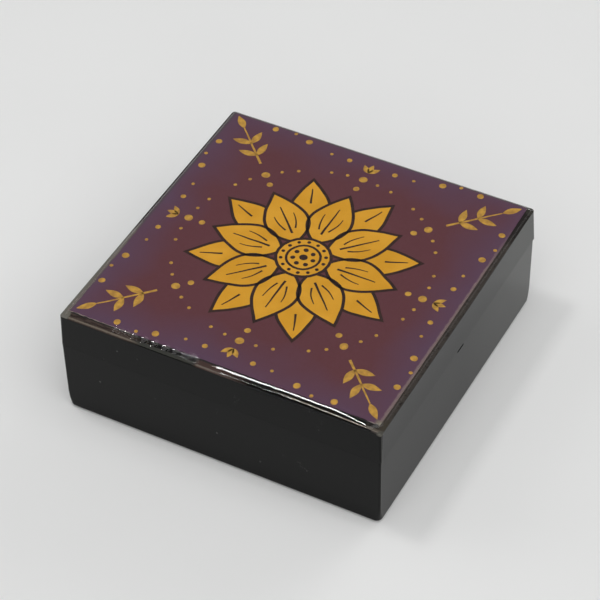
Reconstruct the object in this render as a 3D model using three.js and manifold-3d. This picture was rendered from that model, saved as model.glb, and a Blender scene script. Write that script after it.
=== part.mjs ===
// Square lacquered trinket box with a lift-off lid. Millimetres, +Z up.
// The case is glued up closed from four walls with rebated corners and two let-in boards, then
// sawn apart at the seam. Liner strips inside the base stand proud of the seam and locate the
// lid. A printed sheet lies on the lid under a poured clear coat.
// The origin is the middle of the rest face. The print's lower edge runs along -Y, the front.

import * as THREE from 'three';
import { mergeVertices } from 'three/addons/utils/BufferGeometryUtils.js';
import Module from 'manifold-3d';

const wasm = await Module();
wasm.setup();

// Outer form of the lid and the base
const lid_side = 76.0;
const lid_corner_radius = 0.45;
const lid_taper = 0.1; // each side of the lid draws in this much by its top
const lid_top_corner_radius = 0.8;
const base_step_in = 0.1; // each side of the base inside the lid's, at the seam
const base_taper = 0.12; // each side draws in this much more by the foot
const base_corner_radius = 0.5;
const foot_corner_radius = 1.4;
const foot_wear_height = 3.0; // the base's corners are rubbed rounder below this
const foot_edge_radius = 0.5;
const seam_ease = 0.08; // arris sanded off both sides of the saw cut
const base_wall_height = 18.4;
const lid_wall_height = 8.4;

// How the lid lies on the base: it has slipped this far within its fit
const lid_slip_x = 0.08;
const lid_slip_y = 0.08;

// Walls and boards
const wall_thickness = 4.0;
const corner_rebate = 2.7; // how far the side walls' ends reach into the front and back walls
const rebate_depth = 2.0; // the boards are let this far into the walls
const floor_board_thickness = 3.0;
const lid_board_thickness = 3.0;

// Liner strips
const liner_thickness = 1.6;
const liner_stand = 3.5; // above the seam
const lid_fit = 0.35; // between the standing liner and the lid's walls, each side
const liner_lead_in = 0.6; // chamfer that leads the lid on
const liner_corner_radius = 0.5;

// Lining cards and the felt under the foot
const base_card_thickness = 1.5;
const lid_card_thickness = 1.0;
const card_clearance = 0.3;
const card_corner_radius = 1.0;
const card_edge_radius = 0.5;
const felt_thickness = 1.0;
const felt_proud = 0.3;
const felt_clearance = 0.5;
const felt_corner_radius = 3.0;

// Printed sheet and the clear coat poured over it
const print_thickness = 0.25;
const print_margin_front = 2.2;
const print_margin_back = 0.7;
const print_margin_left = 0.9;
const print_margin_right = 1.1;
const coat_thickness = 0.9;
const coat_step_in = 0.3;
const coat_corner_radius = 1.4;
const coat_edge_radius = 0.75;
const least_land = 0.05; // upright left below any rounded edge

// Nail nick in the top edge of the base's right wall
const nick_length = 3.0;
const nick_depth = 0.9;
const nick_height = 0.9;

// Fineness of the curves
const corner_steps = 8;
const edge_steps = 5;

// Levels, from the rest face up
const foot_z = felt_proud;
const floor_low_z = felt_thickness;
const floor_top_z = floor_low_z + floor_board_thickness;
const seam_z = foot_z + base_wall_height;
const lid_top_z = seam_z + lid_wall_height;
const ceiling_z = lid_top_z - lid_board_thickness;
const liner_top_z = seam_z + liner_stand;

// Half sides
const lid_half = lid_side / 2;
const base_half = lid_half - base_step_in;
const foot_half = base_half - base_taper;
const cavity_half = lid_half - wall_thickness;
const rebate_half = cavity_half + rebate_depth;
const lap_half = cavity_half + corner_rebate;
const liner_inner_half = cavity_half - liner_thickness;
const past = lid_side; // cutters run at least this far past what they cut

const quarter_turn = Math.PI / 2;
const corner_count = 4;

const lacquer = { color: 0x1d1f20, roughness: 0.16, metalness: 0 };
const stained_liner = { color: 0x191716, roughness: 0.42, metalness: 0 };
const bare_board = { color: 0xb08a5c, roughness: 0.75, metalness: 0 };
const flocked_card = { color: 0x5a1626, roughness: 0.95, metalness: 0 };
const black_felt = { color: 0x1c1c1e, roughness: 1.0, metalness: 0 };
const printed_paper = { color: 0x5b3d4a, roughness: 0.6, metalness: 0 };
const clear_resin = { color: 0xf2eee6, roughness: 0.06, metalness: 0, transparent: true, opacity: 0.25 };

// A ring of points round a square with rounded corners, counter-clockwise seen from above.
function squareRing(half, radius, z) {
  const ring = [];
  for (let corner = 0; corner < corner_count; corner++) {
    for (let step = 0; step <= corner_steps; step++) {
      const angle = (corner + step / corner_steps) * quarter_turn;
      const middle = new THREE.Vector2(half - radius, half - radius);
      middle.rotateAround(new THREE.Vector2(0, 0), corner * quarter_turn);
      ring.push(middle.x + radius * Math.cos(angle), middle.y + radius * Math.sin(angle), z);
    }
  }
  return ring;
}

// A closed skin over rings of equal length, from the lowest to the highest, with flat ends.
function loft(rings) {
  const count = rings[0].length / 3;
  const last = (rings.length - 1) * count;
  const low_middle = rings.length * count;
  const high_middle = low_middle + 1;
  const low_z = rings[0][2];
  const high_z = rings[rings.length - 1][2];
  const faces = [];
  for (let i = 0; i < count; i++) {
    const next = (i + 1) % count;
    for (let below = 0; below < last; below += count) {
      const above = below + count;
      faces.push(below + i, below + next, above + next, below + i, above + next, above + i);
    }
    faces.push(low_middle, next, i, high_middle, last + i, last + next);
  }
  const points = [...rings.flat(), 0, 0, low_z, 0, 0, high_z];
  const skin = new THREE.BufferGeometry();
  skin.setAttribute('position', new THREE.Float32BufferAttribute(points, 3));
  skin.setIndex(faces);
  return skin;
}

// Rings of a quarter-round edge: it leaves the side at side_z and meets the flat at flat_z.
function edgeRings(half, corner_radius, edge_radius, side_z, flat_z) {
  const rings = [];
  for (let step = 0; step <= edge_steps; step++) {
    const angle = (step / edge_steps) * quarter_turn;
    const inset = edge_radius * (1 - Math.cos(angle));
    const z = side_z + (flat_z - side_z) * Math.sin(angle);
    rings.push(squareRing(half - inset, Math.max(corner_radius - inset, corner_radius / 2), z));
  }
  return rings;
}

// A square slab with rounded corners whose upper edge is rounded too.
function roundedSlab(half, corner_radius, edge_radius, low_z, high_z) {
  const foot = squareRing(half, corner_radius, low_z);
  const radius = Math.min(edge_radius, high_z - low_z - least_land);
  return loft([foot, ...edgeRings(half, corner_radius, radius, high_z - radius, high_z)]);
}

function block(low, high) {
  const [x, y, z] = low.map((value, axis) => high[axis] - value);
  const [mx, my, mz] = low.map((value, axis) => (high[axis] + value) / 2);
  return new THREE.BoxGeometry(x, y, z).translate(mx, my, mz);
}

function squareBlock(half, low_z, high_z) {
  return block([-half, -half, low_z], [half, half, high_z]);
}

// Closed skin to solid, and back.
function solidOf(geometry) {
  const bare = geometry.clone();
  bare.deleteAttribute('normal');
  bare.deleteAttribute('uv');
  const welded = mergeVertices(bare, 1e-3);
  const vertProperties = welded.attributes.position.array;
  const triVerts = Uint32Array.from(welded.index.array);
  return new wasm.Manifold(new wasm.Mesh({ numProp: 3, vertProperties, triVerts }));
}

function geometryOf(solid) {
  const mesh = solid.getMesh();
  const geometry = new THREE.BufferGeometry();
  geometry.setAttribute('position', new THREE.BufferAttribute(mesh.vertProperties, 3));
  geometry.setIndex(new THREE.BufferAttribute(mesh.triVerts, 1));
  geometry.computeVertexNormals();
  return geometry;
}

// Cuts a solid form into the front, back, left and right pieces of a hollow square frame. The
// front and back run the full width, and rebates in their ends, out to lap, take the side pieces.
function framePieces(form, inner_half, lap) {
  const full_width = solidOf(block([-past, -past, -past], [past, -lap, past]));
  const between = solidOf(block([-inner_half, -past, -past], [inner_half, -inner_half, past]));
  const front = full_width.add(between);
  const left = solidOf(block([-past, -lap, -past], [-inner_half, lap, past]));
  return {
    front: form.intersect(front),
    back: form.intersect(front.rotate([0, 0, 180])),
    left: form.intersect(left),
    right: form.intersect(left.rotate([0, 0, 180])),
  };
}

function cutAll(pieces, cutter) {
  return Object.fromEntries(Object.entries(pieces).map(([side, p]) => [side, p.subtract(cutter)]));
}

// The base's outer form: rounded foot with worn corners, slightly tapered sides, eased edge at
// the seam.
function baseForm() {
  const foot = edgeRings(foot_half, foot_corner_radius, foot_edge_radius,
    foot_z + foot_edge_radius, foot_z).reverse();
  const worn_half = foot_half + base_taper * foot_wear_height / base_wall_height;
  const ankle = squareRing(worn_half, base_corner_radius, foot_z + foot_wear_height);
  const shoulder = squareRing(base_half, base_corner_radius, seam_z - seam_ease);
  const arris = squareRing(base_half - seam_ease, base_corner_radius, seam_z);
  return loft([...foot, ankle, shoulder, arris]);
}

function lidForm() {
  const arris = squareRing(lid_half - seam_ease, lid_corner_radius, seam_z);
  const shoulder = squareRing(lid_half, lid_corner_radius, seam_z + seam_ease);
  const top = squareRing(lid_half - lid_taper, lid_top_corner_radius, lid_top_z);
  return loft([arris, shoulder, top]);
}

// The walls of each half, rebated for the floor board from below and the lid board from above.
function baseWalls() {
  const rebate = solidOf(squareBlock(rebate_half, foot_z - past, floor_top_z));
  const walls = cutAll(framePieces(solidOf(baseForm()), cavity_half, lap_half), rebate);
  return { ...walls, right: walls.right.subtract(nailNick()) };
}

function lidWalls() {
  const rebate = solidOf(squareBlock(rebate_half, ceiling_z, lid_top_z + past));
  return cutAll(framePieces(solidOf(lidForm()), cavity_half, lap_half), rebate);
}

// A round-bottomed scoop at the middle of the right wall's top edge.
function nailNick() {
  const radius = (nick_length ** 2 / 4 + nick_depth ** 2) / (2 * nick_depth);
  const cutter = new THREE.CylinderGeometry(radius, radius, 2 * nick_height, 6 * corner_steps);
  cutter.rotateX(quarter_turn).translate(base_half - nick_depth + radius, 0, seam_z);
  return solidOf(cutter);
}

// Four butted liner strips: flush with the cavity below the seam, stepped in by the lid's fit
// above it, and chamfered at the top.
function linerStrips() {
  const standing_half = cavity_half - lid_fit;
  const form = loft([
    squareRing(cavity_half, liner_corner_radius, floor_top_z),
    squareRing(cavity_half, liner_corner_radius, seam_z),
    squareRing(standing_half, liner_corner_radius, seam_z),
    squareRing(standing_half, liner_corner_radius, liner_top_z - liner_lead_in),
    squareRing(standing_half - liner_lead_in, liner_corner_radius, liner_top_z),
  ]);
  return framePieces(solidOf(form), liner_inner_half, liner_inner_half);
}

function printedSheet() {
  const low = [-lid_half + print_margin_left, -lid_half + print_margin_front, lid_top_z];
  const high = [lid_half - print_margin_right, lid_half - print_margin_back, lid_top_z + print_thickness];
  return block(low, high);
}

// The coat covers the lid's whole top, round-edged where the resin drew back, over the sheet.
function clearCoat() {
  const coat = roundedSlab(lid_half - coat_step_in, coat_corner_radius, coat_edge_radius,
    lid_top_z, lid_top_z + coat_thickness);
  return geometryOf(solidOf(coat).subtract(solidOf(printedSheet())));
}

function addPiece(group, name, geometry, finish) {
  const mesh = new THREE.Mesh(geometry, new THREE.MeshStandardMaterial(finish));
  mesh.name = name;
  group.add(mesh);
}

function addPieces(group, name, pieces, finish) {
  for (const [side, solid] of Object.entries(pieces)) {
    addPiece(group, `${name}_${side}`, geometryOf(solid), finish);
  }
}

function makeBase() {
  const base = new THREE.Group();
  const board = squareBlock(rebate_half, floor_low_z, floor_top_z);
  const card = roundedSlab(liner_inner_half - card_clearance, card_corner_radius,
    card_edge_radius, floor_top_z, floor_top_z + base_card_thickness);
  const felt = loft([
    squareRing(rebate_half - felt_clearance, felt_corner_radius, 0),
    squareRing(rebate_half - felt_clearance, felt_corner_radius, felt_thickness),
  ]);
  addPieces(base, 'base_wall', baseWalls(), lacquer);
  addPieces(base, 'liner', linerStrips(), stained_liner);
  addPiece(base, 'floor_board', board, bare_board);
  addPiece(base, 'base_lining_card', card, flocked_card);
  addPiece(base, 'foot_felt', felt, black_felt);
  return base;
}

function makeLid() {
  const lid = new THREE.Group();
  const board = squareBlock(rebate_half, ceiling_z, lid_top_z);
  const card = roundedSlab(liner_inner_half - card_clearance, card_corner_radius,
    card_edge_radius, -ceiling_z, lid_card_thickness - ceiling_z).rotateX(Math.PI);
  addPieces(lid, 'lid_wall', lidWalls(), lacquer);
  addPiece(lid, 'lid_board', board, bare_board);
  addPiece(lid, 'lid_lining_card', card, flocked_card);
  addPiece(lid, 'picture_print', printedSheet(), printed_paper);
  addPiece(lid, 'clear_coat', clearCoat(), clear_resin);
  return lid;
}

const trinket_box = new THREE.Group();
const base = makeBase();
base.position.set(-lid_slip_x, -lid_slip_y, 0);
trinket_box.add(base, makeLid());

export default trinket_box;
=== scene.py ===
# %% [markdown]
# A square trinket box of lacquered wood, 76 mm wide, with a lift-off lid.
#
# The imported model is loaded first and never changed: it says where each piece is. Everything
# below only dresses it. The two halves of the case get one unbroken skin of black lacquer each,
# the lid gets its printed sheet and the clear resin poured over it, and the inside gets its
# flocked cards, liner strips and boards, because the lid comes off.

# %% Load the frame
import math
from functools import partial

import bmesh
import bpy
from mathutils import Matrix, Vector, noise


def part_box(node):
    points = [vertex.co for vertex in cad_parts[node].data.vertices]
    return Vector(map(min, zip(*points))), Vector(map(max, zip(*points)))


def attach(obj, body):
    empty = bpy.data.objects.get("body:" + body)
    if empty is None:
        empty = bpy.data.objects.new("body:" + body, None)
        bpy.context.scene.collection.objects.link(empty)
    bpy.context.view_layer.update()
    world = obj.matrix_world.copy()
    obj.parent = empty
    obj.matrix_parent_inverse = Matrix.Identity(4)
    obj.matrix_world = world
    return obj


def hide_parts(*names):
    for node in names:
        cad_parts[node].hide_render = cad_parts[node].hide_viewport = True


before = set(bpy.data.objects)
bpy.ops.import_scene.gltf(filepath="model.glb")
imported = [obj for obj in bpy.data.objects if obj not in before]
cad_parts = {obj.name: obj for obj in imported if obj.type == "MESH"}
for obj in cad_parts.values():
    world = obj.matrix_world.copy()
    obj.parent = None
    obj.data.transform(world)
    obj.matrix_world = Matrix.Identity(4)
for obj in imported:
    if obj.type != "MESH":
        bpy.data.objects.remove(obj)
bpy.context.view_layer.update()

MM = 0.001  # the frame is in metres; the sizes below are written in millimetres
WALLS = ("front", "back", "left", "right")


def named(prefix):
    return [f"{prefix}_{wall}" for wall in WALLS]


def span(*nodes):
    """Lowest and highest corner round several CAD nodes, in millimetres."""
    corners = [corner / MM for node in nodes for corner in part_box(node)]
    low = Vector([min(corner[axis] for corner in corners) for axis in range(3)])
    high = Vector([max(corner[axis] for corner in corners) for axis in range(3)])
    return low, high


base_low, base_high = span(*named("base_wall"))
lid_low, lid_high = span(*named("lid_wall"))
liner_low, liner_high = span(*named("liner"))
floor_low, floor_high = span("floor_board")
ceiling_low, ceiling_high = span("lid_board")

# %% [markdown]
# The camera stands high in front of the box and a little to its right, far away with a long
# lens, so the box's edges nearly stay parallel. Its three axes are worked out from its azimuth
# and elevation, and a small roll tips the horizon.

# %% Camera
AZIMUTH, ELEVATION, ROLL = (math.radians(angle) for angle in (28.849, 43.862, -1.379))
CAMERA_DISTANCE = 541.5
AIM = Vector((-2.38, 2.92, 12.16))
LENS, SENSOR = 147.71, 36.0


def add_object(name, data):
    """Puts a mesh, a lamp or a camera into the scene."""
    thing = bpy.data.objects.new(name, data)
    bpy.context.scene.collection.objects.link(thing)
    return thing


backward = Vector((math.sin(AZIMUTH) * math.cos(ELEVATION),
                   -math.cos(AZIMUTH) * math.cos(ELEVATION),
                   math.sin(ELEVATION)))
level = Vector((math.cos(AZIMUTH), math.sin(AZIMUTH), 0))
upward = backward.cross(level)
side = math.cos(ROLL) * level + math.sin(ROLL) * upward
top = math.cos(ROLL) * upward - math.sin(ROLL) * level

lens = bpy.data.cameras.new("camera")
lens.lens, lens.sensor_width = LENS, SENSOR
camera = add_object("camera", lens)
camera.matrix_world = (Matrix.Translation((AIM + CAMERA_DISTANCE * backward) * MM)
                       @ Matrix((side, top, backward)).transposed().to_4x4())
bpy.context.scene.camera = camera
bpy.context.scene.view_settings.view_transform = "Standard"
print("camera at, mm:", camera.matrix_world.translation / MM)

# %% [markdown]
# Every finish below is a tree of nodes. One function adds a node: it fills the inputs it is
# given, joins them where the value is another node's output, and hands back one output to go
# on with. Colours are written as sRGB hex, as a designer picks them, and turned to linear light.
# Stain, wear and print all come in patches, so a second function paints one colour over another
# within limits.

# %% Helpers for finishes
LINEAR_KNEE = 0.04045


def colour(code):
    """An sRGB hex colour as linear red, green, blue and alpha."""
    shades = [int(code[i:i + 2], 16) / 255 for i in (1, 3, 5)]
    return (*(s / 12.92 if s < LINEAR_KNEE else ((s + 0.055) / 1.055) ** 2.4 for s in shades), 1)


def add_node(tree, kind, inputs, output=0, **settings):
    """Adds a node with its settings, fills or links its inputs, and gives back one output."""
    node = tree.nodes.new("ShaderNode" + kind)
    for name, value in settings.items():
        setattr(node, name, value)
    for name, value in inputs.items():
        if isinstance(value, bpy.types.NodeSocket):
            tree.links.new(value, node.inputs[name])
        else:
            node.inputs[name].default_value = value
    return node.outputs[output] if len(node.outputs) else node


def new_finish(name):
    """An empty material, the function that adds nodes to it, and the place on it in mm."""
    finish = bpy.data.materials.new(name)
    finish.use_nodes = True
    finish.node_tree.nodes.clear()
    add = partial(add_node, finish.node_tree)
    place = add("TexCoord", {}, "Object")
    return finish, add, add("VectorMath", {0: place, "Scale": 1 / MM}, operation="SCALE")


def paint(add, under, over, *limits):
    """Paints a colour over another one, as far as every limit lets it through.

    A limit is a value and two readings of it: at the first it lets no paint through, at the
    second all of it. A colour is a hex code, or the output that gives it.
    """
    share = 1.0
    for value, none, full in limits:
        passed = add("MapRange", {"Value": value, "From Min": none, "From Max": full})
        share = add("Math", {0: share, 1: passed}, operation="MULTIPLY")
    under, over = (colour(shade) if isinstance(shade, str) else shade for shade in (under, over))
    return add("Mix", {0: share, 6: under, 7: over}, 2, data_type="RGBA")


# %% [markdown]
# The studio is a white paper sweep under broad soft light. A very large softbox high in front
# and to the right gives most of the light and no hard shadow. Two weak panels, one at the left
# and one behind, lift the far floor and spread the soft shadow round the foot. A small bright
# lamp overhead to the left draws the white line along the resin's front edge. The sky is dim
# and pale only near the horizon, so the lid's flat top stays deep in colour instead of
# mirroring white.

# %% Floor
FLOOR_HALF = 4000
FIBRE_MM = 0.9  # paper fibre, drawn coarser than the real 0.1 mm so that it shows
FIBRE_RISE_MM = 0.01
PAPER_CLOUD_MM = 40


def white_paper():
    """Matt paper: rough, with a very faint mottle where the fibres lie thicker."""
    finish, add, mm = new_finish("matt_paper_sweep")
    mottle = add("TexNoise", {"Vector": mm, "Scale": 1 / PAPER_CLOUD_MM, "Detail": 2}, "Fac")
    fibre = add("TexNoise", {"Vector": mm, "Scale": 1 / FIBRE_MM, "Detail": 3}, "Fac")
    bump = add("Bump", {"Height": fibre, "Distance": FIBRE_RISE_MM * MM, "Strength": 0.3},
               "Normal")
    surface = add("BsdfPrincipled",
                  {"Base Color": paint(add, "#ececeb", "#efefee", (mottle, 0, 1)),
                   "Roughness": 0.85, "Specular IOR Level": 0.2, "Normal": bump})
    add("OutputMaterial", {"Surface": surface})
    return finish


sweep = bpy.data.meshes.new("paper_sweep")
sweep.from_pydata([(x * FLOOR_HALF * MM, y * FLOOR_HALF * MM, 0)
                   for x, y in ((-1, -1), (1, -1), (1, 1), (-1, 1))], [], [(0, 1, 2, 3)])
sweep.materials.append(white_paper())
add_object("paper_sweep", sweep)
print("floor, mm:", 2 * FLOOR_HALF, "square")

# %% Lamps
LAMPS = {  # where it hangs, its width and length, its power in watts
    "softbox": (Vector((346, -396, 800)), (1225, 1600), 7.95),
    "left_panel": (Vector((-600, -100, 450)), (500, 500), 0.75),
    "back_panel": (Vector((250, 700, 320)), (600, 300), 1.65),
    "small_lamp": (Vector((-150, -16, 500)), (70, 70), 0.36),
}


def add_lamp(name, place, size, watts):
    """A flat rectangular lamp that faces the box, its long side along Y."""
    light = bpy.data.lights.new(name, "AREA")
    light.shape = "RECTANGLE"
    light.size, light.size_y = size[0] * MM, size[1] * MM
    light.energy = watts
    lamp = add_object(name, light)
    lamp.location = place * MM
    outward = place.normalized()
    across = Vector((0, 1, 0)).cross(outward).normalized()
    lamp.rotation_euler = Matrix((across, outward.cross(across), outward)).transposed().to_euler()
    print(f"{name}: {watts} W at {place.length:.0f} mm")


for lamp_name, lamp_plan in LAMPS.items():
    add_lamp(lamp_name, *lamp_plan)

# %% Sky
GLOW_TOP, GLOW_FADED = 0.05, 0.35  # sines of the elevations between which the pale glow fades

world = bpy.data.worlds.new("studio_sky")
world.use_nodes = True
world.node_tree.nodes.clear()
add_to_sky = partial(add_node, world.node_tree)
direction = add_to_sky("TexCoord", {}, "Generated")
height = add_to_sky("SeparateXYZ", {0: direction}, 2)
fade = add_to_sky("MapRange", {"Value": height, "From Min": GLOW_TOP, "From Max": GLOW_FADED},
                  interpolation_type="SMOOTHSTEP")
glow = paint(add_to_sky, "#cecece", "#717273", (fade, 0, 1))
add_to_sky("OutputWorld", {"Surface": add_to_sky("Background", {"Color": glow, "Strength": 1.0})})
bpy.context.scene.world = world

# %% [markdown]
# Most pieces of a box are rings: squares with rounded corners, one above another. A skin laid
# over the rings is the piece's surface. Where the rings come back to the first one, as round the
# wall of a case, the skin closes on itself like a picture frame. The same rings can be drawn
# with extra points along their straight runs, to be moved a little where a surface is uneven.

# %% Helpers for meshes
CORNER_STEPS = 12
EASE_STEPS = 4
SMOOTH_ANGLE = math.radians(32)


def unevenness(point, wave_mm):
    """A number from 0 to 1 that wanders from place to place, in waves about this wide."""
    return 0.5 + 0.5 * noise.noise(point / wave_mm)


def square_ring(half, radius, z, centre=(0, 0), run_steps=1):
    """Points round a rounded square or, with a pair of halves, a rounded rectangle."""
    half_x, half_y = half if isinstance(half, tuple) else (half, half)
    arcs = []
    for corner, (sign_x, sign_y) in enumerate(((1, 1), (-1, 1), (-1, -1), (1, -1))):
        middle = Vector((centre[0] + sign_x * (half_x - radius),
                         centre[1] + sign_y * (half_y - radius), z))
        angles = [(corner + step / CORNER_STEPS) * math.pi / 2 for step in range(CORNER_STEPS + 1)]
        arcs.append([middle + radius * Vector((math.cos(a), math.sin(a), 0)) for a in angles])
    ring = []
    for arc, following in zip(arcs, arcs[1:] + arcs[:1]):
        run = [arc[-1].lerp(following[0], step / run_steps) for step in range(1, run_steps)]
        ring += arc + run
    return ring


def skin(rings, closed=False):
    """Points and faces of a surface over rings: closed on itself, or capped at both ends."""
    count = len(rings[0])
    faces = []
    for level in range(len(rings) if closed else len(rings) - 1):
        low, high = level * count, (level + 1) % len(rings) * count
        for i in range(count):
            j = (i + 1) % count
            faces.append((low + i, low + j, high + j, high + i))
    if not closed:
        last = (len(rings) - 1) * count
        faces.append(tuple(reversed(range(count))))
        faces.append(tuple(range(last, last + count)))
    return [point for ring in rings for point in ring], faces


def add_piece(name, mesh, finish, body, nodes=()):
    """Puts a mesh on the body that carries it, where it may stand for CAD nodes."""
    mesh.materials.append(finish)
    piece = add_object(name, mesh)
    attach(piece, body)
    if nodes:
        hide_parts(*nodes)
    print(f"{name}: {len(mesh.vertices)} points, {len(mesh.polygons)} faces")
    return piece


def make_piece(name, points, faces, finish, body, slot, nodes):
    """A piece from points in millimetres and faces, smooth but for its sharp edges."""
    mesh = bpy.data.meshes.new(name)
    mesh.from_pydata([point * MM for point in points], [], faces)
    mesh.shade_smooth()
    mesh.set_sharp_from_angle(angle=SMOOTH_ANGLE)
    return add_piece(name, mesh, finish, body, nodes)


def even_shading(piece):
    """Keeps big flat faces flat beside narrow rounded edges."""
    piece.modifiers.new("even_shading", "WEIGHTED_NORMAL").keep_sharp = True


# %% [markdown]
# Black gloss lacquer. On the real box the wood is filled, sprayed and rubbed down until no grain
# is left, so the eye gets a black that is deep where you look straight at it and a clear grey
# mirror of the floor where you look along it. That mirror is Fresnel reflection, and it is
# weaker than a typical lacquer's IOR of 1.5 would give, so the IOR is matched down. What breaks
# the mirror is small: dust nibs caught in the spray, little patches of scuff and the faint haze
# of handling. Towards the far end of the right side a lighter grey is painted into the colour:
# a painted reflection for the brighter mirror there. The rim round the print has had the most
# wear. It is dulled along the right and the near half of the left, brown at the left of the
# front, and knocked bare at the near corner. Pale lines along the front of the rim are painted
# highlights, where the small lamp is mirrored at the resin's foot, and a lighter grey on the
# near upright corner is a painted reflection. The nodes draw each of these from its real size,
# and the rim's patches are a list of colours with the limits they keep to.

# %% The worn rim, with painted highlights and a painted reflection
RIM_MM = 35.5  # the worn rim lies outside this square
RIM_FADE = 0.4
RAGGED_MM = 0.35  # patches have edges that are ragged by up to this much
RAGGED_SHIFT = Vector((0.17, 0.17, 0.17))  # how far that moves them on the whole
WEAR_MM = 1 / 1.5
STREAK_MM = (4.0, 0.625, 1.0)
SLANT = 0.025  # the painted highlight line under the resin's foot runs askew by this much
CHIP_MM = 1.45


def rim_wear_and_painted_light(add, mm, ragged, shade):
    """Lays the wear of the lid's top rim, and the highlights and reflection painted on it, over
    the lacquer's colour, patch by patch.
    """
    x, y = (add("SeparateXYZ", {0: ragged}, axis) for axis in range(2))
    true_x, true_y, true_z = (add("SeparateXYZ", {0: mm}, axis) for axis in range(3))
    from_front = add("Math", {0: y, 1: lid_low.y}, operation="SUBTRACT")
    slanted = add("Math", {0: true_x, 1: SLANT, 2: true_y}, operation="MULTIPLY_ADD")
    diagonal = add("Math", {0: true_x, 1: true_y}, operation="ADD")
    fine = add("TexNoise", {"Vector": mm, "Scale": 1 / WEAR_MM, "Detail": 3}, "Fac")
    drawn_out = add("Mapping", {"Vector": mm, "Scale": [1 / size for size in STREAK_MM]})
    streaks = add("TexNoise", {"Vector": drawn_out, "Scale": 1.0, "Detail": 2}, "Fac")
    corner = Vector((lid_high.x, lid_low.y, lid_high.z))
    from_corner = add("VectorMath", {0: ragged, 1: corner + RAGGED_SHIFT}, operation="SUBTRACT")
    flattened = add("VectorMath", {0: from_corner, 1: (1, 1, 2)}, operation="MULTIPLY")
    away = add("VectorMath", {0: flattened}, 1, operation="LENGTH")

    top = (true_z, lid_high.z - 0.12, lid_high.z - 0.02)
    right, left = ((x, sign * RIM_MM, sign * (RIM_MM + RIM_FADE)) for sign in (1, -1))
    front = (y, -RIM_MM + 0.3, -RIM_MM - 0.3)
    left_third = (x, -18.0, -21.0)
    # the pale lines laid in this band are painted highlights: the small lamp mirrored at the
    # resin's foot
    painted_highlight_line = ((from_front, 0.5, 0.65), (from_front, 1.1, 0.95))
    by_corner = ((x, 33.8, 34.6), (true_y, -37.4, -37.3), (true_y, -33.0, -34.4))
    sunk = (*by_corner, (true_y, -36.9, -36.6))
    chip = (away, CHIP_MM, CHIP_MM - 0.2)
    patches = (
        ("#3f3a37", top, right, (fine, 0.2, 0.5)),  # cloudy wear along the right
        ("#23201f", top, right, (y, 24.0, 28.0)),  # but little of it at the far end
        ("#35342f", top, (y, RIM_MM, RIM_MM + RIM_FADE)),  # the back
        ("#463c37", top, front, left_third),  # brown at the left of the front
        ("#2a211e", top, front, left_third, (streaks, 0.5, 0.62)),  # with darker streaks in it
        ("#3a3b37", top, (from_front, 0.35, 0.5), (from_front, 1.5, 1.3),
         (x, -21.0, -18.0), (x, -4.5, -5.5)),  # a grey strip below the blobs
        ("#483834", top, front, (x, -5.5, -4.5), (x, 8.0, 0.0)),  # brown again after them
        ("#6d655e", top, *painted_highlight_line, (x, -5.2, -4.6), (x, 6.0, -2.0)),  # a painted highlight there: a pale line where the lamp's mirror image tapers out
        ("#6d645a", top, *painted_highlight_line, left_third),  # and a painted highlight line at the left
        ("#90877f", top, (x, 12.0, 18.0), (slanted, -36.6, -36.5),
         (slanted, -36.2, -36.3)),  # a paler painted highlight under the resin's foot, the lamp's second mirror image
        ("#1f1e1b", top, left),  # the left
        ("#6b6963", top, left, (y, -4.0, -9.0)),  # worn grey on its near half
        ("#5a534a", top, *by_corner),  # scraped pale beside the near corner; there it also carries the painted highlight line on to the corner
        ("#1d1a18", top, *sunk),  # and sunk there next to the resin
        ("#3f3a33", top, *sunk, (x, 36.0, 37.0)),
        ("#4c4d4b", (diagonal, 0.05, 0.25), (y, -36.9, -37.7)),  # a painted reflection on the upright near corner, lighter like the right face's mirror
        ("#4a4843", chip),  # the chip on the near corner
        ("#5a5851", chip, (fine, 0.55, 0.62)),  # with bare spots
    )
    for stain, *limits in patches:
        shade = paint(add, shade, stain, *limits)
    print("patches of wear on the rim:", len(patches))
    return shade


# %% Black gloss lacquer
LACQUER_IOR = 1.26
NIB_CELL_MM = 4.6  # one speck of dust in each cube of this side
NIB_RADIUS_MM = 0.24  # real nibs are about 0.1 mm; a little larger so that they show
NIB_WARP_MM, NIB_PATCH_MM = 0.4, 11  # each nib is ragged, and they are strongest in patches
SCUFF_MM = 0.5  # scuff marks are about this far apart, in patches ten times as wide
HAZE_MM = 18
PEEL_MM, PEEL_RISE_MM = 1.6, 0.003  # sprayed lacquer dries a little wavy
RIGHT_SIDE, PAINTED_REFLECTION_ALONG = (37.3, 37.6), (2.0, 32.0)  # where the painted reflection lies, in x and in y


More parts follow.
